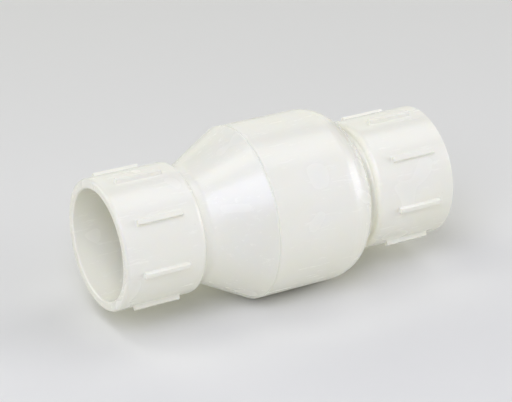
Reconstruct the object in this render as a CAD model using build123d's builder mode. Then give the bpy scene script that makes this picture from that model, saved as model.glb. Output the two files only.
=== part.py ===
import os
from math import cos, radians, tan

from build123d import *

# Spring check valve with two solvent-weld pipe sockets.
# X is the flow axis: the inlet socket is at +X, the outlet socket at -X. Z is up. Millimetres.

# pipe sockets for 1-1/2 inch pipe, 48.26 outside diameter
socket_radius = 24.2
socket_depth = 28.5
socket_chamfer = 0.5
pipe_stop = 3.8

# outside of the body; the barrel's length runs to the corner that the shoulder rounds off
barrel_radius = 38.1
barrel_length = 46.08
wall = 4.0
outlet_hub_wall = 4.3
inlet_hub_wall = 4.65
outlet_hub_past_socket = 9.0
inlet_hub_past_socket = 9.7
hub_shoulder_round = 2.7
neck_wall = 5.0
outlet_lip_round = 1.3
inlet_lip_round = 0.5

# outlet end: a short neck, then a cone up to the barrel
outlet_neck_length = 4.3
cone_half_angle = 28.2
cone_root_round = 4.0
cone_bore_round = 2.0
crease_round = 1.0
seam_offset = 1.0
seam_chamfer = 0.35

# inlet end: a steep rounded shoulder between the barrel and a narrow groove
groove_width = 2.6
groove_round = 1.0
dome_slope = 60.0
dome_round = 16.0

# grip ribs round each hub
rib_count = 8
rib_length = 20.8
rib_width = 2.5
rib_height = 1.85
rib_from_lip = 18.0
rib_end_slope = 0.2
rib_root = 0.8
rib_round = 0.6
outlet_rib_turn = 6.5
inlet_rib_turn = 4.6

# spigot and counterbore that hold the guide at the seam
spigot_length = 5.5
spigot_gap = 0.05
spigot_wall = 3.1
counterbore_step = 1.05
guide_rim_gap = 0.1

# stem guide
rim_depth = 4.0
rim_width = 3.45
spoke_count = 4
spoke_turn = 45.0
spoke_width = 3.0
spoke_root_depth = 13.5
tube_wall = 1.8
tube_tip_round = 0.8
tube_below_rim = 2.0
guide_bore_length = 7.0
stem_gap = 0.08
small_round = 0.4
overlap_in = 1.0

# poppet
valve_lift = 10.2
stop_gap = 0.3
seat_width = 3.0
seat_back = 0.5
seat_gap = 0.3
seal_cover = 1.2
stem_radius = 4.5
stem_root_step = 1.1
stem_end_chamfer = 0.8
stem_past_guide = 4.0
disc_thickness = 3.2
disc_rim_height = 1.0
disc_rim_width = 1.0
disc_edge_round = 1.0
boss_height = 2.5
pilot_radius = 11.9
gusset_count = 6
gusset_width = 1.6
gusset_from_rim = 1.0

# seal and the plate that clamps it
seal_thickness = 3.0
seal_gap = 0.1
plate_gap = 1.9
plate_thickness = 2.0
plate_chamfer = 0.7

# screw and washer
screw_radius = 2.0
screw_length = 16.0
screw_hole_gap = 0.1
screw_hole_past = 1.0
thread_pitch = 0.7
thread_height = 0.35
thread_runout = 3
head_overhang = 2.0
screw_head_height = 2.7
screw_head_round = 1.3
recess_length = 4.6
recess_width = 1.1
recess_depth = 1.6
recess_taper = 10.0
washer_overhang = 0.6
washer_thickness = 0.8

# spring
wire_radius = 0.5
spring_coils = 9
spring_gap = 0.05
spring_side_gap = 0.8

# radii that follow from the sizes above
outlet_hub_radius = socket_radius + outlet_hub_wall
inlet_hub_radius = socket_radius + inlet_hub_wall
port_radius = socket_radius - pipe_stop
neck_radius = port_radius + neck_wall
barrel_bore = barrel_radius - wall
counterbore_radius = barrel_bore + counterbore_step
spigot_radius = counterbore_radius - spigot_gap
spigot_bore = spigot_radius - spigot_wall
rim_radius = counterbore_radius - guide_rim_gap
rim_bore = rim_radius - rim_width
guide_bore = stem_radius + stem_gap
stem_root_radius = stem_radius + stem_root_step
spring_mean_radius = stem_root_radius + spring_side_gap + wire_radius
spring_pocket_radius = spring_mean_radius + wire_radius + spring_side_gap
tube_radius = spring_pocket_radius + tube_wall
seat_outer_radius = port_radius + seat_width
pocket_radius = seat_outer_radius + seal_cover
disc_radius = pocket_radius + disc_rim_width
plate_radius = port_radius - plate_gap
screw_hole_radius = screw_radius + screw_hole_gap
screw_head_radius = screw_radius + head_overhang
washer_radius = screw_head_radius + washer_overhang

# stations along the axis that follow from the sizes above
outlet_hub_length = socket_depth + outlet_hub_past_socket
inlet_hub_length = socket_depth + inlet_hub_past_socket
cone_rise = tan(radians(cone_half_angle))
dome_rise = tan(radians(dome_slope))
cone_length = (barrel_radius - neck_radius) / cone_rise
dome_length = (barrel_radius - neck_radius) / dome_rise
outlet_length = outlet_hub_length + outlet_neck_length + cone_length
inlet_length = inlet_hub_length + groove_width + dome_length
overall_length = outlet_length + barrel_length + inlet_length
inlet_mouth_x = overall_length / 2
outlet_mouth_x = -overall_length / 2
inlet_hub_x = inlet_mouth_x - inlet_hub_length
outlet_hub_x = outlet_mouth_x + outlet_hub_length
inlet_socket_floor_x = inlet_mouth_x - socket_depth
outlet_socket_floor_x = outlet_mouth_x + socket_depth
cone_wall_drop = wall / cos(radians(cone_half_angle))
cone_start_x = outlet_hub_x + outlet_neck_length
crease_x = cone_start_x + cone_length
dome_wall_drop = wall / cos(radians(dome_slope))
dome_end_x = inlet_hub_x - groove_width
dome_corner_x = dome_end_x - dome_length
seam_x = crease_x + seam_offset
spigot_end_x = seam_x + spigot_length
shoulder_x = spigot_end_x + rim_depth
seat_x = dome_corner_x - seat_back
seal_face_x = seat_x - seat_gap
seal_back_x = seal_face_x - seal_thickness
disc_back_x = seal_back_x - disc_thickness
boss_x = disc_back_x - boss_height
tube_end_x = boss_x - valve_lift - stop_gap
tube_start_x = spigot_end_x - tube_below_rim
cup_floor_x = tube_start_x + guide_bore_length
stem_end_x = tube_start_x - stem_past_guide
washer_x = seal_face_x + plate_thickness
head_x = washer_x + washer_thickness
screw_end_x = head_x - screw_length
screw_hole_end_x = screw_end_x - screw_hole_past


def cone_bore_x(radius):
    return crease_x - (barrel_radius - cone_wall_drop - radius) / cone_rise


def dome_bore_x(radius):
    return dome_corner_x + (barrel_radius - dome_wall_drop - radius) / dome_rise


def grip_rib(middle_x, hub_radius):
    half = rib_length / 2
    with BuildPart() as rib:
        with BuildSketch(Plane.XZ):
            with BuildLine():
                Polyline(
                    (middle_x - half, hub_radius - rib_root),
                    (middle_x + half, hub_radius - rib_root),
                    (middle_x + half, hub_radius),
                    (middle_x + half - rib_end_slope, hub_radius + rib_height),
                    (middle_x - half + rib_end_slope, hub_radius + rib_height),
                    (middle_x - half, hub_radius),
                    close=True,
                )
            make_face()
        extrude(amount=rib_width / 2, both=True)
        top_face = rib.faces().sort_by(Axis.Z)[-1]
        fillet(top_face.edges(), radius=rib_round)
    return rib.part


os.makedirs("parts", exist_ok=True)

# inlet body: socket hub, shoulder and barrel in one moulding, with the seat inside
inlet_rib = grip_rib(inlet_mouth_x - rib_from_lip, inlet_hub_radius)
with BuildPart() as inlet_body:
    with BuildSketch(Plane.XY):
        with BuildLine():
            FilletPolyline(
                (seam_x, counterbore_radius),
                (seam_x, barrel_radius - seam_chamfer),
                (seam_x + seam_chamfer, barrel_radius),
                (dome_corner_x, barrel_radius),
                (dome_end_x, neck_radius),
                (inlet_hub_x, neck_radius),
                (inlet_hub_x, inlet_hub_radius),
                (inlet_mouth_x, inlet_hub_radius),
                (inlet_mouth_x, socket_radius + socket_chamfer),
                (inlet_mouth_x - socket_chamfer, socket_radius),
                (inlet_socket_floor_x, socket_radius),
                (inlet_socket_floor_x, port_radius),
                (seat_x, port_radius),
                (seat_x, seat_outer_radius),
                (dome_bore_x(seat_outer_radius), seat_outer_radius),
                (dome_bore_x(barrel_bore), barrel_bore),
                (shoulder_x, barrel_bore),
                (shoulder_x, counterbore_radius),
                radius=[
                    0,
                    0,
                    0,
                    dome_round,
                    groove_round,
                    groove_round,
                    hub_shoulder_round,
                    inlet_lip_round,
                    0,
                    0,
                    0,
                    small_round,
                    small_round,
                    small_round,
                    small_round,
                    dome_round - wall,
                    0,
                    0,
                ],
                close=True,
            )
        make_face()
    revolve(axis=Axis.X)
    for i in range(rib_count):
        add(inlet_rib.rotate(Axis.X, inlet_rib_turn - 90 + i * 360 / rib_count))
inlet_body.part.label = "inlet_body"
export_step(inlet_body.part, "parts/inlet_body.step")

# outlet body: socket hub and cone, with a spigot that is cemented into the barrel
outlet_rib = grip_rib(outlet_mouth_x + rib_from_lip, outlet_hub_radius)
with BuildPart() as outlet_body:
    with BuildSketch(Plane.XY):
        with BuildLine():
            FilletPolyline(
                (outlet_mouth_x, socket_radius + socket_chamfer),
                (outlet_mouth_x, outlet_hub_radius),
                (outlet_hub_x, outlet_hub_radius),
                (outlet_hub_x, neck_radius),
                (cone_start_x, neck_radius),
                (crease_x, barrel_radius),
                (seam_x - seam_chamfer, barrel_radius),
                (seam_x, barrel_radius - seam_chamfer),
                (seam_x, spigot_radius),
                (spigot_end_x, spigot_radius),
                (spigot_end_x, spigot_bore),
                (cone_bore_x(spigot_bore), spigot_bore),
                (cone_bore_x(port_radius), port_radius),
                (outlet_socket_floor_x, port_radius),
                (outlet_socket_floor_x, socket_radius),
                (outlet_mouth_x + socket_chamfer, socket_radius),
                radius=[
                    0,
                    outlet_lip_round,
                    hub_shoulder_round,
                    groove_round,
                    cone_root_round,
                    crease_round,
                    0,
                    0,
                    0,
                    0,
                    small_round,
                    cone_bore_round,
                    cone_root_round,
                    small_round,
                    0,
                    0,
                ],
                close=True,
            )
        make_face()
    revolve(axis=Axis.X)
    for i in range(rib_count):
        add(outlet_rib.rotate(Axis.X, outlet_rib_turn - 90 + i * 360 / rib_count))
outlet_body.part.label = "outlet_body"
export_step(outlet_body.part, "parts/outlet_body.step")

# stem guide: a rim held at the seam, spokes, and a tube that holds the spring and stops the poppet
with BuildPart() as spoke_blade:
    with BuildSketch(Plane.XZ):
        with BuildLine():
            Polyline(
                (tube_start_x + small_round, tube_radius - overlap_in),
                (tube_start_x + spoke_root_depth, tube_radius - overlap_in),
                (shoulder_x, rim_bore + overlap_in),
                (spigot_end_x, rim_bore + overlap_in),
                (spigot_end_x, rim_bore),
                close=True,
            )
        make_face()
    extrude(amount=spoke_width / 2, both=True)
with BuildPart() as stem_guide:
    with BuildSketch(Plane.XY):
        with Locations(((spigot_end_x + shoulder_x) / 2, (rim_radius + rim_bore) / 2)):
            Rectangle(rim_depth, rim_radius - rim_bore)
    revolve(axis=Axis.X)
    with BuildSketch(Plane.XY):
        with BuildLine():
            FilletPolyline(
                (tube_start_x, guide_bore),
                (tube_start_x, tube_radius),
                (tube_end_x, tube_radius),
                (tube_end_x, spring_pocket_radius),
                (cup_floor_x, spring_pocket_radius),
                (cup_floor_x, guide_bore),
                radius=[small_round, tube_tip_round, small_round, small_round, 0, small_round],
                close=True,
            )
        make_face()
    revolve(axis=Axis.X)
    for i in range(spoke_count):
        add(spoke_blade.part.rotate(Axis.X, spoke_turn + i * 360 / spoke_count))
stem_guide.part.label = "stem_guide"
export_step(stem_guide.part, "parts/stem_guide.step")

# poppet: disc with a shallow pocket for the seal, a ring for the spring and a long stem
gusset_tip = pocket_radius - gusset_from_rim
with BuildPart() as gusset_blade:
    with BuildSketch(Plane.XZ):
        with BuildLine():
            Polyline(
                (disc_back_x + overlap_in, tube_radius - overlap_in),
                (disc_back_x + overlap_in, gusset_tip),
                (disc_back_x, gusset_tip),
                (boss_x + small_round, tube_radius - overlap_in),
                close=True,
            )
        make_face()
    extrude(amount=gusset_width / 2, both=True)
with BuildPart() as poppet:
    with BuildSketch(Plane.XY):
        with BuildLine():
            FilletPolyline(
                (stem_end_x, 0),
                (stem_end_x, stem_radius - stem_end_chamfer),
                (stem_end_x + stem_end_chamfer, stem_radius),
                (boss_x, stem_radius),
                (boss_x + stem_root_step, stem_root_radius),
                (disc_back_x, stem_root_radius),
                (disc_back_x, spring_pocket_radius),
                (boss_x, spring_pocket_radius),
                (boss_x, tube_radius),
                (disc_back_x, tube_radius),
                (disc_back_x, disc_radius),
                (seal_back_x + disc_rim_height, disc_radius),
                (seal_back_x + disc_rim_height, pocket_radius),
                (seal_back_x, pocket_radius),
                (seal_back_x, pilot_radius),
                (seal_face_x, pilot_radius),
                (seal_face_x, screw_hole_radius),
                (screw_hole_end_x, screw_hole_radius),
                (screw_hole_end_x - screw_hole_radius / 2, 0),
                radius=[
                    0,
                    0,
                    0,
                    0,
                    0,
                    small_round,
                    small_round,
                    small_round,
                    small_round,
                    disc_edge_round,
                    disc_edge_round,
                    small_round,
                    0,
                    0,
                    0,
                    0,
                    0,
                    0,
                    0,
                ],
                close=True,
            )
        make_face()
    revolve(axis=Axis.X)
    for i in range(gusset_count):
        add(gusset_blade.part.rotate(Axis.X, i * 360 / gusset_count))
poppet.part.label = "poppet"
export_step(poppet.part, "parts/poppet.step")

# seal: flat rubber ring
with BuildPart() as poppet_seal:
    with BuildSketch(Plane.XY):
        with BuildLine():
            FilletPolyline(
                (seal_back_x, pilot_radius + seal_gap),
                (seal_back_x, pocket_radius - seal_gap),
                (seal_face_x, pocket_radius - seal_gap),
                (seal_face_x, pilot_radius + seal_gap),
                radius=[0, small_round, small_round, 0],
                close=True,
            )
        make_face()
    revolve(axis=Axis.X)
poppet_seal.part.label = "poppet_seal"
export_step(poppet_seal.part, "parts/poppet_seal.step")

# plate that clamps the seal on the poppet
with BuildPart() as seal_retainer:
    with BuildSketch(Plane.XY):
        with BuildLine():
            Polyline(
                (seal_face_x, screw_hole_radius),
                (seal_face_x, plate_radius),
                (washer_x - plate_chamfer, plate_radius),
                (washer_x, plate_radius - plate_chamfer),
                (washer_x, screw_hole_radius),
                close=True,
            )
        make_face()
    revolve(axis=Axis.X)
seal_retainer.part.label = "seal_retainer"
export_step(seal_retainer.part, "parts/seal_retainer.step")

# flat washer under the screw head
with BuildPart() as screw_washer:
    with BuildSketch(Plane.XY):
        with Locations(((washer_x + head_x) / 2, (washer_radius + screw_hole_radius) / 2)):
            Rectangle(washer_thickness, washer_radius - screw_hole_radius)
    revolve(axis=Axis.X)
screw_washer.part.label = "screw_washer"
export_step(screw_washer.part, "parts/screw_washer.step")

# pan head screw with ridges for its thread
thread_turns = int(screw_length / thread_pitch) - thread_runout
with BuildPart() as retainer_screw:
    with BuildSketch(Plane.XY):
        with BuildLine():
            FilletPolyline(
                (screw_end_x, 0),
                (screw_end_x, screw_radius - thread_height),
                (head_x, screw_radius - thread_height),
                (head_x, screw_head_radius),
                (head_x + screw_head_height, screw_head_radius),
                (head_x + screw_head_height, 0),
                radius=[0, small_round, 0, 0, screw_head_round, 0],
                close=True,
            )
        make_face()
        for i in range(thread_turns):
            ridge_x = screw_end_x + (i + 2) * thread_pitch
            with BuildLine():
                Polyline(
                    (ridge_x - thread_pitch / 2, screw_radius - 2 * thread_height),
                    (ridge_x - thread_pitch / 2, screw_radius - thread_height),
                    (ridge_x, screw_radius),
                    (ridge_x + thread_pitch / 2, screw_radius - thread_height),
                    (ridge_x + thread_pitch / 2, screw_radius - 2 * thread_height),
                    close=True,
                )
            make_face()
    revolve(axis=Axis.X)
    with BuildSketch(Plane.YZ.offset(head_x + screw_head_height)):
        Rectangle(recess_length, recess_width)
        Rectangle(recess_width, recess_length)
    extrude(amount=-recess_depth, taper=recess_taper, mode=Mode.SUBTRACT)
retainer_screw.part.label = "retainer_screw"
export_step(retainer_screw.part, "parts/retainer_screw.step")

# compression spring between the cup of the guide and the ring on the poppet
spring_start_x = cup_floor_x + wire_radius + spring_gap
spring_length = disc_back_x - cup_floor_x - 2 * (wire_radius + spring_gap)
with BuildPart() as spring:
    with BuildLine() as coil:
        Helix(
            pitch=spring_length / spring_coils,
            height=spring_length,
            radius=spring_mean_radius,
            center=(spring_start_x, 0, 0),
            direction=(1, 0, 0),
        )
    with BuildSketch(Plane(origin=coil.line @ 0, z_dir=coil.line % 0)):
        Circle(wire_radius)
    sweep(path=coil.line, is_frenet=True)
spring.part.label = "spring"
export_step(spring.part, "parts/spring.step")
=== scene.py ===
import math

import bmesh
import bpy
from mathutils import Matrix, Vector


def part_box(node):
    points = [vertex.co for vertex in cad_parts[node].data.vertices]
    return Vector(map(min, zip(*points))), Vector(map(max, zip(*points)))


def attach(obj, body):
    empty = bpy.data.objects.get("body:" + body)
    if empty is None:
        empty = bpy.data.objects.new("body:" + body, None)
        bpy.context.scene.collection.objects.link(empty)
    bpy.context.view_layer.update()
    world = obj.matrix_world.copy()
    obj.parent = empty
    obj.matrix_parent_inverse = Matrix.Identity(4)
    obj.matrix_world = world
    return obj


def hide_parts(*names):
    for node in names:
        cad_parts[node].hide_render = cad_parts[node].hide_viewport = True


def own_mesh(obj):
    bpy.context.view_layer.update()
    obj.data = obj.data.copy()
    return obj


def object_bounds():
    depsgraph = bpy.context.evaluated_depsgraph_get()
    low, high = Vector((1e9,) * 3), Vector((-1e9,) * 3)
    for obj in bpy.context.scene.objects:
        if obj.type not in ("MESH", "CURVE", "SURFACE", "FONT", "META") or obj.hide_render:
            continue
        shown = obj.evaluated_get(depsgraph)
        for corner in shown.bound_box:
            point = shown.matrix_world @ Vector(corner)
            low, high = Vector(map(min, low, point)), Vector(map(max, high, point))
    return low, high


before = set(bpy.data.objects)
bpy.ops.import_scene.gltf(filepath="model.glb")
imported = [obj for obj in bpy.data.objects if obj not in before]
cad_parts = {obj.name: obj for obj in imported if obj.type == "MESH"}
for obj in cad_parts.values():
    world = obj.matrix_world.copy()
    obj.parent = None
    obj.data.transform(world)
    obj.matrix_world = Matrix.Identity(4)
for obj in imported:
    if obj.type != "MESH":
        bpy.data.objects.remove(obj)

cadLow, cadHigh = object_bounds()
mm = 0.001
# vertices closer than this are one vertex
weldDistance = 0.001 * mm
# a wave texture at scale 1 repeats every 0.314 units
wavePeriod = 0.314


def hexColour(code):
    channels = [int(code[i:i + 2], 16) / 255 for i in (1, 3, 5)]
    linear = [c / 12.92 if c <= 0.04045 else ((c + 0.055) / 1.055) ** 2.4 for c in channels]
    return (*linear, 1.0)


def addNode(tree, kind, settings=None, inputs=None):
    node = tree.nodes.new(kind)
    for name, value in (settings or {}).items():
        setattr(node, name, value)
    for socket, value in (inputs or {}).items():
        if isinstance(value, bpy.types.NodeSocket):
            tree.links.new(value, node.inputs[socket])
        else:
            node.inputs[socket].default_value = value
    return node


def addNoise(tree, vector, size, detail, more=None):
    # size is the pattern's scale in mm
    inputs = {"Vector": vector, "Scale": 1 / (size * mm), "Detail": detail}
    return addNode(tree, "ShaderNodeTexNoise", None, {**inputs, **(more or {})})


def addBump(tree, surface, height, depth, more=None):
    # depth in mm; the last bump made is the one the surface uses
    inputs = {"Height": height, "Distance": depth * mm}
    bump = addNode(tree, "ShaderNodeBump", None, {**inputs, **(more or {})})
    tree.links.new(bump.outputs["Normal"], surface.inputs["Normal"])
    return bump


def addShine(tree, pattern, span, roughness):
    # roughness follows the pattern over the span
    return addNode(tree, "ShaderNodeMapRange", None, {
        "Value": pattern.outputs["Fac"], "From Min": span[0], "From Max": span[1],
        "To Min": roughness[0], "To Max": roughness[1]})


def newMaterial(name, shader):
    material = bpy.data.materials.new(name)
    material.use_nodes = True
    tree = material.node_tree
    surface = tree.nodes["Principled BSDF"]
    for socket, value in shader.items():
        surface.inputs[socket].default_value = value
    coords = addNode(tree, "ShaderNodeTexCoord").outputs["Object"]
    return material, tree, surface, coords


def setRamp(node, stops):
    ramp = node.color_ramp
    while len(ramp.elements) < len(stops):
        ramp.elements.new(0.5)
    for element, (place, colour) in zip(ramp.elements, stops):
        element.position = place
        element.color = colour


# camera: a long lens, a little above the valve, with the outlet end nearer
cameraView = {
    "azimuth": -29.53,
    "elevation": 24.92,
    "distance": 0.8764,
    "lens": 141.98,
    "target": (-0.00255, 0.0022, 0.0019),
    "sensor": 36,
    "clip": (0.01, 20),
}


def directionTo(azimuth, elevation):
    a, e = math.radians(azimuth), math.radians(elevation)
    return Vector((math.sin(a) * math.cos(e), -math.cos(a) * math.cos(e), math.sin(e)))


def placeCamera(view):
    back = directionTo(view["azimuth"], view["elevation"])
    lens = bpy.data.cameras.new("cameraLens")
    lens.lens = view["lens"]
    lens.sensor_width = view["sensor"]
    lens.clip_start, lens.clip_end = view["clip"]
    camera = bpy.data.objects.new("camera", lens)
    bpy.context.scene.collection.objects.link(camera)
    camera.location = Vector(view["target"]) + back * view["distance"]
    camera.rotation_mode = "QUATERNION"
    camera.rotation_quaternion = (-back).to_track_quat("-Z", "Y")
    bpy.context.scene.camera = camera


placeCamera(cameraView)
bpy.context.scene.view_settings.view_transform = "Standard"
print("camera placed")

# studio: pale paper sweep and large soft lamps; a lamp's turn is counted from the camera's own
studio = {
    "paperSize": 8.0,
    "paperColour": "#EAEAE2",
    "paperRoughness": 0.75,
    "paperSpecular": 0.2,
    "fibreSize": 0.8,
    "fibreStrength": 0.05,
    "fibreDepth": 0.1,
    "skyColour": "#FFFFFA",
    "skyStrength": 0.05,
    "lampDistance": 1.4,
    "lamps": {
        # turn and height in degrees, side in metres, power in watts
        "key": {"turn": -11, "height": 42, "side": 0.9, "power": 9.9, "colour": "#E1E3FF"},
        "keyHigh": {"turn": -20, "height": 60, "side": 0.8, "power": 3.0, "colour": "#F2F2FF"},
        "lowFill": {"turn": -8, "height": 16, "side": 1.0, "power": 1.9, "colour": "#EEEEFF"},
        "rightLow": {"turn": 92, "height": 17, "side": 0.8, "power": 8.6, "colour": "#F4F3FF"},
        "leftLow": {"turn": -102, "height": 18, "side": 0.8, "power": 4.8, "colour": "#FFFFFB"},
        "leftHigh": {"turn": -84, "height": 66, "side": 0.5, "power": 2.4, "colour": "#FFFFFA"},
        "rightHigh": {"turn": 122, "height": 62, "side": 0.8, "power": 3.4, "colour": "#FCFCFF"},
        "back": {"turn": 185, "height": 22, "side": 1.2, "power": 4.3, "colour": "#FFFFFA"},
    },
}


def layPaper(settings):
    bpy.ops.object.select_all(action="DESELECT")
    bpy.ops.mesh.primitive_plane_add(size=settings["paperSize"], location=(0, 0, cadLow.z))
    paper = bpy.context.object
    paper.name = "paperSweep"
    material, tree, surface, coords = newMaterial("studioPaper", {
        "Base Color": hexColour(settings["paperColour"]),
        "Roughness": settings["paperRoughness"],
        "Specular IOR Level": settings["paperSpecular"],
    })
    fibre = addNoise(tree, coords, settings["fibreSize"], 3.0)
    addBump(tree, surface, fibre.outputs["Fac"], settings["fibreDepth"],
            {"Strength": settings["fibreStrength"]})
    paper.data.materials.append(material)


def hangLamps(settings):
    world = bpy.data.worlds.new("studioAir")
    bpy.context.scene.world = world
    world.use_nodes = True
    sky = world.node_tree.nodes["Background"]
    sky.inputs["Color"].default_value = hexColour(settings["skyColour"])
    sky.inputs["Strength"].default_value = settings["skyStrength"]
    for name, lamp in settings["lamps"].items():
        light = bpy.data.lights.new(name + "Lamp", "AREA")
        light.shape = "SQUARE"
        light.size = lamp["side"]
        light.energy = lamp["power"]
        light.color = hexColour(lamp["colour"])[:3]
        holder = bpy.data.objects.new(name + "Lamp", light)
        bpy.context.scene.collection.objects.link(holder)
        outward = directionTo(cameraView["azimuth"] + lamp["turn"], lamp["height"])
        holder.location = outward * settings["lampDistance"]
        holder.rotation_mode = "QUATERNION"
        holder.rotation_quaternion = (-outward).to_track_quat("-Z", "Y")


layPaper(studio)
hangLamps(studio)
print("studio set up")

# rigid PVC, injection moulded in a polished tool: ivory white, a soft gloss broken by a faint
# orange peel and slow sink marks, a little light passing through it, and handling scuffs that
# only dull the shine
pvcFinish = {
    "white": "#F6F5E5",
    "creamWhite": "#F5F4E1",
    "speck": "#C9C3B2",
    "roughness": (0.21, 0.29),
    "cloudSize": 22.0,
    "cloudSpan": (0.3, 0.7),
    "scuffSize": 1.6,
    "scuffStretch": (0.12, 1.0, 1.0),
    "scuffSpan": (0.58, 0.75),
    "scuffRoughness": 0.12,
    "waveSize": 16.0,
    "waveDepth": 0.12,
    "peelSize": 1.1,
    "peelDepth": 0.008,
    "speckSpacing": 11.0,
    "speckSize": 0.1,
    "speckBlur": 1.5,
}


def makeMouldedPvc(name, finish):
    material, tree, surface, coords = newMaterial(name, {
        "IOR": 1.53,
        "Subsurface Weight": 0.2,
        "Subsurface Radius": (1.0, 0.8, 0.5),
        "Subsurface Scale": 1.5 * mm,
    })
    # slow drift between two whites, where the melt cooled at different speeds
    span = finish["cloudSpan"]
    cloud = addNoise(tree, coords, finish["cloudSize"], 1.0)
    whites = addNode(tree, "ShaderNodeValToRGB", None, {"Fac": cloud.outputs["Fac"]})
    setRamp(whites, [(span[0], hexColour(finish["creamWhite"])),
                     (span[1], hexColour(finish["white"]))])
    # a few pale specks in the melt
    specks = addNode(tree, "ShaderNodeTexVoronoi", None,
                     {"Vector": coords, "Scale": 1 / (finish["speckSpacing"] * mm)})
    speckEdge = finish["speckSize"] / finish["speckSpacing"]
    speckMask = addNode(tree, "ShaderNodeMapRange", None, {
        "Value": specks.outputs["Distance"],
        "From Min": speckEdge * finish["speckBlur"], "From Max": speckEdge})
    # sockets 0, 6 and 7 are a colour mix's factor and its two colours
    colour = addNode(tree, "ShaderNodeMix", {"data_type": "RGBA"}, {
        0: speckMask.outputs["Result"], 6: whites.outputs["Color"], 7: hexColour(finish["speck"])})
    tree.links.new(colour.outputs[2], surface.inputs["Base Color"])
    # shine: an even moulded gloss, duller along fine scuffs that run with the flow axis
    shine = addShine(tree, cloud, span, finish["roughness"])
    stretch = addNode(tree, "ShaderNodeMapping", None,
                      {"Vector": coords, "Scale": finish["scuffStretch"]})
    scuff = addNoise(tree, stretch.outputs["Vector"], finish["scuffSize"], 6.0, {"Roughness": 0.7})
    scuffMask = addShine(tree, scuff, finish["scuffSpan"], (0.0, finish["scuffRoughness"]))
    dullness = addNode(tree, "ShaderNodeMath", {"operation": "ADD"},
                       {0: shine.outputs["Result"], 1: scuffMask.outputs["Result"]})
    tree.links.new(dullness.outputs["Value"], surface.inputs["Roughness"])
    # sink marks, and orange peel on top of them
    wave = addNoise(tree, coords, finish["waveSize"], 0.0)
    peel = addNoise(tree, coords, finish["peelSize"], 1.0)
    waveBump = addBump(tree, surface, wave.outputs["Fac"], finish["waveDepth"])
    addBump(tree, surface, peel.outputs["Fac"], finish["peelDepth"],
            {"Normal": waveBump.outputs["Normal"]})
    return material


# natural acetal, machined-looking satin: fine feed rings round the flow axis and a waxy,
# slightly deep white
acetalFinish = {
    "white": "#ECEAE4",
    "shade": "#E4E2DB",
    "roughness": (0.36, 0.46),
    "cloudSize": 8.0,
    "cloudSpan": (0.3, 0.7),
    "ringSpacing": 0.5,
    "ringDepth": 0.004,
}


def makeAcetal(name, finish):
    material, tree, surface, coords = newMaterial(name, {
        "IOR": 1.48,
        "Subsurface Weight": 0.25,
        "Subsurface Radius": (1.0, 0.9, 0.75),
        "Subsurface Scale": 1.2 * mm,
    })
    span = finish["cloudSpan"]
    cloud = addNoise(tree, coords, finish["cloudSize"], 2.0)
    whites = addNode(tree, "ShaderNodeValToRGB", None, {"Fac": cloud.outputs["Fac"]})
    setRamp(whites, [(span[0], hexColour(finish["shade"])),
                     (span[1], hexColour(finish["white"]))])
    tree.links.new(whites.outputs["Color"], surface.inputs["Base Color"])
    shine = addShine(tree, cloud, span, finish["roughness"])
    tree.links.new(shine.outputs["Result"], surface.inputs["Roughness"])
    rings = addNode(tree, "ShaderNodeTexWave", {"wave_type": "RINGS", "rings_direction": "X"}, {
        "Vector": coords, "Scale": wavePeriod / (finish["ringSpacing"] * mm), "Distortion": 0.4})
    addBump(tree, surface, rings.outputs["Fac"], finish["ringDepth"])
    return material


# moulded EPDM: matt near-black with a faint grey bloom and a fine grain from the
# spark-eroded mould
rubberFinish = {
    "black": "#1B1B1C",
    "bloom": "#343433",
    "roughness": (0.5, 0.68),
    "bloomSize": 4.0,
    "bloomSpan": (0.45, 0.75),
    "shineSpan": (0.35, 0.7),
    "grainSize": 0.25,
    "grainDepth": 0.012,
}


def makeRubber(name, finish):
    material, tree, surface, coords = newMaterial(name, {"IOR": 1.52})
    span = finish["bloomSpan"]
    bloom = addNoise(tree, coords, finish["bloomSize"], 4.0)
    blacks = addNode(tree, "ShaderNodeValToRGB", None, {"Fac": bloom.outputs["Fac"]})
    setRamp(blacks, [(span[0], hexColour(finish["black"])), (span[1], hexColour(finish["bloom"]))])
    tree.links.new(blacks.outputs["Color"], surface.inputs["Base Color"])
    shine = addShine(tree, bloom, finish["shineSpan"], finish["roughness"])
    tree.links.new(shine.outputs["Result"], surface.inputs["Roughness"])
    grain = addNoise(tree, coords, finish["grainSize"], 1.0)
    addBump(tree, surface, grain.outputs["Fac"], finish["grainDepth"])
    return material


# stainless steel: bright and slightly warm, with fine drawn or turned lines that spread the
# highlight
steelFinishes = {
    "headedSteel": {
        "colour": "#CAC7C0",
        "roughness": (0.2, 0.34),
        "stretch": (1.0, 1.0, 1.0),
        "lineSize": 0.35,
        "lineSpan": (0.3, 0.7),
        "lineDepth": 0.003,
    },
    "drawnSteel": {
        "colour": "#B9B7B2",
        "roughness": (0.24, 0.38),
        "stretch": (3.0, 0.5, 0.5),
        "lineSize": 0.3,
        "lineSpan": (0.3, 0.7),
        "lineDepth": 0.004,
    },
}


def makeSteel(name, finish):
    material, tree, surface, coords = newMaterial(name, {
        "Metallic": 1.0,
        "Base Color": hexColour(finish["colour"]),
    })
    stretch = addNode(tree, "ShaderNodeMapping", None,
                      {"Vector": coords, "Scale": finish["stretch"]})
    lines = addNoise(tree, stretch.outputs["Vector"], finish["lineSize"], 3.0)
    shine = addShine(tree, lines, finish["lineSpan"], finish["roughness"])
    tree.links.new(shine.outputs["Result"], surface.inputs["Roughness"])
    addBump(tree, surface, lines.outputs["Fac"], finish["lineDepth"])
    return material


mouldedPvc = makeMouldedPvc("mouldedPvc", pvcFinish)
satinAcetal = makeAcetal("satinAcetal", acetalFinish)
mouldedRubber = makeRubber("mouldedRubber", rubberFinish)
headedSteel = makeSteel("headedSteel", steelFinishes["headedSteel"])
drawnSteel = makeSteel("drawnSteel", steelFinishes["drawnSteel"])
print("materials mixed")


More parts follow.
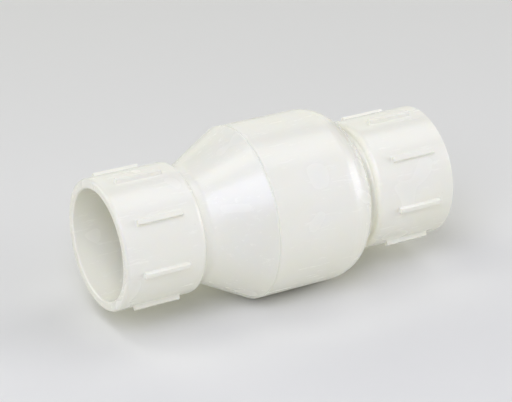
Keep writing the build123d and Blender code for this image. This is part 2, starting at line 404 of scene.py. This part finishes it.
def roundedOutline(corners, arcStep):
    # corners are (x, radius, rounding) in mm; each rounding becomes a short run of points
    points = []
    count = len(corners)
    for i, (x, r, rounding) in enumerate(corners):
        corner = Vector((x, r))
        before = Vector(corners[i - 1][:2]) - corner
        after = Vector(corners[(i + 1) % count][:2]) - corner
        if rounding <= 0:
            points.append(corner)
            continue
        turn = math.pi - before.angle(after)
        reach = rounding * math.tan(turn / 2)
        start = corner + before.normalized() * reach
        halfway = (before.normalized() + after.normalized()).normalized()
        middle = corner + halfway * rounding / math.cos(turn / 2)
        steps = max(3, round(math.degrees(turn) / arcStep))
        spoke = start - middle
        side = 1 if before.x * after.y - before.y * after.x < 0 else -1
        for k in range(steps + 1):
            angle = side * turn * k / steps
            points.append(middle + Vector((
                spoke.x * math.cos(angle) - spoke.y * math.sin(angle),
                spoke.x * math.sin(angle) + spoke.y * math.cos(angle))))
    return points


def withStations(points, spacing, guard):
    # straight runs get a ring close to each end, so that shading stays flat, and rings between
    full = []
    for i, point in enumerate(points):
        after = points[(i + 1) % len(points)]
        full.append(point)
        run = (after - point).length
        if run > 4 * guard:
            full.append(point.lerp(after, guard / run))
            between = max(1, round((run - 2 * guard) / spacing))
            for k in range(1, between):
                along = guard + (run - 2 * guard) * k / between
                full.append(point.lerp(after, along / run))
            full.append(point.lerp(after, 1 - guard / run))
    return full


def makeActive(piece):
    bpy.ops.object.select_all(action="DESELECT")
    piece.select_set(True)
    bpy.context.view_layer.objects.active = piece


def spinOutline(name, outline, steps):
    # one vertex is drawn out along the outline, closed, and spun round the flow axis
    bpy.ops.object.select_all(action="DESELECT")
    bpy.ops.mesh.primitive_plane_add(size=mm, location=(0, 0, 0))
    piece = bpy.context.object
    piece.name = name
    piece.data.name = name
    bpy.ops.object.mode_set(mode="EDIT")
    bpy.ops.mesh.select_mode(type="VERT")
    bpy.ops.mesh.select_all(action="SELECT")
    bpy.ops.mesh.merge(type="CENTER")
    bpy.ops.transform.translate(value=(outline[0].x * mm, outline[0].y * mm, 0))
    for here, after in zip(outline, outline[1:]):
        step = (after - here) * mm
        bpy.ops.mesh.extrude_region_move(TRANSFORM_OT_translate={"value": (step.x, step.y, 0)})
    shell = bmesh.from_edit_mesh(piece.data)
    shell.verts.ensure_lookup_table()
    ends = [v for v in shell.verts if len(v.link_edges) == 1]
    for v in shell.verts:
        v.select = v in ends
    shell.select_flush_mode()
    bmesh.update_edit_mesh(piece.data)
    bpy.ops.mesh.edge_face_add()
    bpy.ops.mesh.select_all(action="SELECT")
    bpy.ops.mesh.spin(steps=steps, angle=math.tau, center=(0, 0, 0), axis=(1, 0, 0))
    bpy.ops.mesh.select_all(action="SELECT")
    bpy.ops.mesh.remove_doubles(threshold=weldDistance)
    bpy.ops.mesh.normals_make_consistent(inside=False)
    bpy.ops.object.mode_set(mode="OBJECT")
    return piece


def selectParts(piece, kind, wanted):
    # kind is "faces" or "edges"
    shell = bmesh.from_edit_mesh(piece.data)
    for part in (*shell.verts, *shell.edges, *shell.faces):
        part.select = False
    found = [part for part in getattr(shell, kind) if wanted(part)]
    for part in found:
        part.select_set(True)
    bmesh.update_edit_mesh(piece.data)
    return len(found)


def radiusOf(point):
    return math.hypot(point.y, point.z)


def raiseRibs(piece, hub, ribs):
    # the hub's own faces are drawn out into ribs, then their edges and roots are rounded
    pitch = math.tau / ribs["count"]
    halfTurn = math.pi / ribs["steps"] * ribs["stepsWide"]
    low = hub["ribMiddle"] - ribs["length"] / 2
    high = hub["ribMiddle"] + ribs["length"] / 2
    topRadius = hub["radius"] + ribs["height"]

    def onRib(face):
        middle = face.calc_center_median()
        angle = math.atan2(middle.z, middle.y) % pitch
        angle = min(angle, pitch - angle)
        return (low * mm < middle.x < high * mm and angle < halfTurn
                and abs(radiusOf(middle) - hub["radius"] * mm) < ribs["nearHub"] * mm)

    def onTop(vertex):
        return (abs(radiusOf(vertex.co) - topRadius * mm) < ribs["nearTop"] * mm
                and low * mm < vertex.co.x < high * mm)

    def topOutline(edge):
        tops = [onTop(v) for v in edge.verts]
        topFaces = sum(all(onTop(v) for v in f.verts) for f in edge.link_faces)
        return all(tops) and topFaces == 1

    def rootOutline(edge):
        spare = ribs["nearEnd"] * mm
        onHub = all(abs(radiusOf(v.co) - hub["radius"] * mm) < ribs["nearRoot"] * mm
                    for v in edge.verts)
        inside = all(low * mm - spare < v.co.x < high * mm + spare for v in edge.verts)
        return onHub and inside and edge.calc_face_angle() > math.radians(ribs["rootAngle"])

    makeActive(piece)
    bpy.ops.object.mode_set(mode="EDIT")
    bpy.ops.mesh.select_mode(type="FACE")
    picked = selectParts(piece, "faces", onRib)
    bpy.ops.mesh.inset(thickness=ribs["draft"] * mm, depth=ribs["height"] * mm)
    bpy.ops.mesh.select_mode(type="EDGE")
    rounded = selectParts(piece, "edges", topOutline)
    bpy.ops.mesh.bevel(offset=ribs["edgeRound"] * mm, segments=ribs["edgeSegments"],
                       affect="EDGES", clamp_overlap=True)
    roots = selectParts(piece, "edges", rootOutline)
    bpy.ops.mesh.bevel(offset=ribs["rootRound"] * mm, segments=ribs["rootSegments"],
                       affect="EDGES", clamp_overlap=True)
    bpy.ops.object.mode_set(mode="OBJECT")
    print(piece.name, "rib faces", picked, "rounded", rounded, "roots", roots)


def turnPiece(piece, degrees):
    # rotates the finished mesh about the flow axis
    makeActive(piece)
    piece.rotation_euler = (math.radians(degrees), 0, 0)
    bpy.ops.object.transform_apply(location=True, rotation=True, scale=True)


def smoothPiece(piece, degrees):
    makeActive(piece)
    bpy.ops.object.shade_smooth_by_angle(angle=math.radians(degrees))


# sizes in mm that both mouldings share
body = {
    "mouth": cadHigh.x / mm,
    "socketRadius": 24.2,
    "socketDepth": 28.5,
    "socketChamfer": 0.5,
    "portRadius": 20.4,
    "hubShoulder": 2.7,
    "neckRadius": 25.4,
    "barrelRadius": 38.1,
    "wall": 4.0,
    "seam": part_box("inlet_body")[0].x / mm,
    "seamChamfer": 0.35,
    "counterbore": 35.15,
    "spigotEnd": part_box("outlet_body")[1].x / mm,
    "spigotRadius": 35.1,
    "spigotBore": 32.0,
    "rimDepth": 4.0,
    "spinSteps": 144,
    "arcStep": 7.5,
    "ringSpacing": 4.0,
    "ringGuard": 0.35,
    "smoothAngle": 35,
    # roundings of the small edges and roots
    "edgeRound": 0.15,
    "seamEdgeRound": 0.12,
    "seamLipRound": 0.05,
    "seamRootRound": 0.1,
    "portRound": 0.4,
    "floorRound": 0.3,
}
grip = {
    "count": 8,
    "steps": body["spinSteps"],
    "stepsWide": 2,
    "length": 20.8,
    "height": 1.85,
    "draft": 0.2,
    "edgeRound": 0.6,
    "rootRound": 0.45,
    "fromLip": 18.0,
    "edgeSegments": 4,
    "rootSegments": 3,
    "rootAngle": 25,
    # how near the hub, the rib's top, its root and its ends a point has to lie to count, in mm
    "nearHub": 0.05,
    "nearTop": 0.12,
    "nearRoot": 0.02,
    "nearEnd": 0.01,
}


def ribStations(ribMiddle, hubRadius):
    # rings on the hub where the ribs start and end
    half = grip["length"] / 2
    return [(ribMiddle - half, hubRadius, 0), (ribMiddle + half, hubRadius, 0)]


def spinMoulding(name, corners, side, ribMiddle):
    rounded = roundedOutline(corners, body["arcStep"])
    outline = withStations(rounded, body["ringSpacing"], body["ringGuard"])
    piece = spinOutline(name, outline, body["spinSteps"])
    raiseRibs(piece, {"ribMiddle": ribMiddle, "radius": side["hubRadius"]}, grip)
    turnPiece(piece, side["ribTurn"])
    smoothPiece(piece, body["smoothAngle"])
    piece.data.materials.append(mouldedPvc)
    return piece


outletSide = {
    "hubRadius": 28.5,
    "hubLength": 37.5,
    "lipRound": 1.3,
    "neckLength": 4.3,
    "coneHalfAngle": 28.2,
    "coneRoot": 4.0,
    "creaseRound": 1.0,
    "neckRound": 1.0,
    "boreEntryRound": 2.0,
    "portEntryRound": 4.0,
    "seamOffset": 1.0,
    "ribTurn": 6.5,
}


def makeOutletBody(side):
    b = body
    mouth = -b["mouth"]
    hubEnd = mouth + side["hubLength"]
    floor = mouth + b["socketDepth"]
    rise = math.tan(math.radians(side["coneHalfAngle"]))
    drop = b["wall"] / math.cos(math.radians(side["coneHalfAngle"]))
    coneStart = hubEnd + side["neckLength"]
    crease = b["seam"] - side["seamOffset"]
    ribMiddle = mouth + grip["fromLip"]

    def boreX(radius):
        return crease - (b["barrelRadius"] - drop - radius) / rise

    corners = [
        (mouth, b["socketRadius"] + b["socketChamfer"], b["edgeRound"]),
        (mouth, side["hubRadius"], side["lipRound"]),
        *ribStations(ribMiddle, side["hubRadius"]),
        (hubEnd, side["hubRadius"], b["hubShoulder"]),
        (hubEnd, b["neckRadius"], side["neckRound"]),
        (coneStart, b["neckRadius"], side["coneRoot"]),
        (crease, b["barrelRadius"], side["creaseRound"]),
        (b["seam"] - b["seamChamfer"], b["barrelRadius"], b["seamEdgeRound"]),
        (b["seam"], b["barrelRadius"] - b["seamChamfer"], b["seamLipRound"]),
        (b["seam"], b["spigotRadius"], b["seamRootRound"]),
        (b["spigotEnd"], b["spigotRadius"], b["edgeRound"]),
        (b["spigotEnd"], b["spigotBore"], b["portRound"]),
        (boreX(b["spigotBore"]), b["spigotBore"], side["boreEntryRound"]),
        (boreX(b["portRadius"]), b["portRadius"], side["portEntryRound"]),
        (floor, b["portRadius"], b["portRound"]),
        (floor, b["socketRadius"], b["floorRound"]),
        (mouth + b["socketChamfer"], b["socketRadius"], b["edgeRound"]),
    ]
    piece = spinMoulding("outletBody", corners, side, ribMiddle)
    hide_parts("outlet_body")
    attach(piece, "valve_body")


inletSide = {
    "hubRadius": 28.85,
    "hubLength": 38.2,
    "lipRound": 0.5,
    "grooveWidth": 2.6,
    "grooveRound": 1.0,
    "domeSlope": 60.0,
    "domeRound": 16.0,
    "seatBack": 0.5,
    "seatWidth": 3.0,
    "ribTurn": 4.6,
}


def makeInletBody(side):
    b = body
    mouth = b["mouth"]
    hubEnd = mouth - side["hubLength"]
    floor = mouth - b["socketDepth"]
    rise = math.tan(math.radians(side["domeSlope"]))
    drop = b["wall"] / math.cos(math.radians(side["domeSlope"]))
    domeEnd = hubEnd - side["grooveWidth"]
    domeCorner = domeEnd - (b["barrelRadius"] - b["neckRadius"]) / rise
    barrelBore = b["barrelRadius"] - b["wall"]
    seat = domeCorner - side["seatBack"]
    seatRadius = b["portRadius"] + side["seatWidth"]
    shoulder = b["spigotEnd"] + b["rimDepth"]
    ribMiddle = mouth - grip["fromLip"]

    def boreX(radius):
        return domeCorner + (b["barrelRadius"] - drop - radius) / rise

    corners = [
        (b["seam"], b["counterbore"], b["seamRootRound"]),
        (b["seam"], b["barrelRadius"] - b["seamChamfer"], b["seamLipRound"]),
        (b["seam"] + b["seamChamfer"], b["barrelRadius"], b["seamEdgeRound"]),
        (domeCorner, b["barrelRadius"], side["domeRound"]),
        (domeEnd, b["neckRadius"], side["grooveRound"]),
        (hubEnd, b["neckRadius"], side["grooveRound"]),
        (hubEnd, side["hubRadius"], b["hubShoulder"]),
        *ribStations(ribMiddle, side["hubRadius"]),
        (mouth, side["hubRadius"], side["lipRound"]),
        (mouth, b["socketRadius"] + b["socketChamfer"], b["edgeRound"]),
        (mouth - b["socketChamfer"], b["socketRadius"], b["edgeRound"]),
        (floor, b["socketRadius"], b["floorRound"]),
        (floor, b["portRadius"], b["portRound"]),
        (seat, b["portRadius"], b["portRound"]),
        (seat, seatRadius, b["portRound"]),
        (boreX(seatRadius), seatRadius, b["portRound"]),
        (boreX(barrelBore), barrelBore, side["domeRound"] - b["wall"]),
        (shoulder, barrelBore, b["seamRootRound"]),
        (shoulder, b["counterbore"], b["seamRootRound"]),
    ]
    piece = spinMoulding("inletBody", corners, side, ribMiddle)
    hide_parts("inlet_body")
    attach(piece, "valve_body")


# the spring: round wire coiled round the poppet's stem, its end turns closed up
coil = {
    "turns": 9.0,
    "wireRadius": 0.5,
    "meanRadius": 6.9,
    "closedPitch": 1.06,
    "closedTurns": 0.8,
    "easeTurns": 0.5,
    "pointsPerTurn": 40,
    "travel": 10.2,
    "wireSegments": 4,
    "smoothAngle": 40,
}


def makeSpring(spring):
    low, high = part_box("spring")
    length = (high.x - low.x) / mm - 2 * spring["wireRadius"]
    count = round(spring["turns"] * spring["pointsPerTurn"])

    def openness(turn):
        fromEnd = min(turn, spring["turns"] - turn)
        step = min(1, max(0, (fromEnd - spring["closedTurns"]) / spring["easeTurns"]))
        return step * step * (3 - 2 * step)

    opened = [openness((i + 0.5) / spring["pointsPerTurn"]) for i in range(count)]
    extra = (length - spring["closedPitch"] * spring["turns"]) / sum(opened)
    x = low.x + spring["wireRadius"] * mm
    points = []
    for i in range(count + 1):
        angle = math.tau * i / spring["pointsPerTurn"]
        points.append((x, spring["meanRadius"] * mm * math.cos(angle),
                       spring["meanRadius"] * mm * math.sin(angle)))
        if i < count:
            x += (spring["closedPitch"] / spring["pointsPerTurn"] + extra * opened[i]) * mm
    wire = bpy.data.curves.new("springCoil", "CURVE")
    wire.dimensions = "3D"
    wire.bevel_depth = spring["wireRadius"] * mm
    wire.bevel_resolution = spring["wireSegments"]
    wire.use_fill_caps = True
    path = wire.splines.new("POLY")
    path.points.add(count)
    for point, place in zip(path.points, points):
        point.co = (*place, 1)
    piece = bpy.data.objects.new("springCoil", wire)
    bpy.context.scene.collection.objects.link(piece)
    makeActive(piece)
    bpy.ops.object.convert(target="MESH")
    piece = bpy.context.object
    bpy.ops.object.mode_set(mode="EDIT")
    bpy.ops.mesh.select_all(action="SELECT")
    bpy.ops.mesh.remove_doubles(threshold=weldDistance)
    bpy.ops.mesh.normals_make_consistent(inside=False)
    bpy.ops.object.mode_set(mode="OBJECT")
    smoothPiece(piece, spring["smoothAngle"])
    piece.data.materials.clear()
    piece.data.materials.append(drawnSteel)
    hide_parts("spring")
    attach(piece, "valve_body")
    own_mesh(piece)


def dressInnerParts(finishes):
    # the guide, poppet, seal, plate, washer and screw keep their solid shapes and get real finishes
    for name, material in finishes.items():
        for slot in bpy.data.objects[name].material_slots:
            slot.material = material


makeOutletBody(outletSide)
makeInletBody(inletSide)
print("body mouldings done")
makeSpring(coil)
dressInnerParts({
    "stem_guide": satinAcetal,
    "poppet": satinAcetal,
    "seal_retainer": satinAcetal,
    "poppet_seal": mouldedRubber,
    "screw_washer": headedSteel,
    "retainer_screw": headedSteel,
})
print("inner parts done")
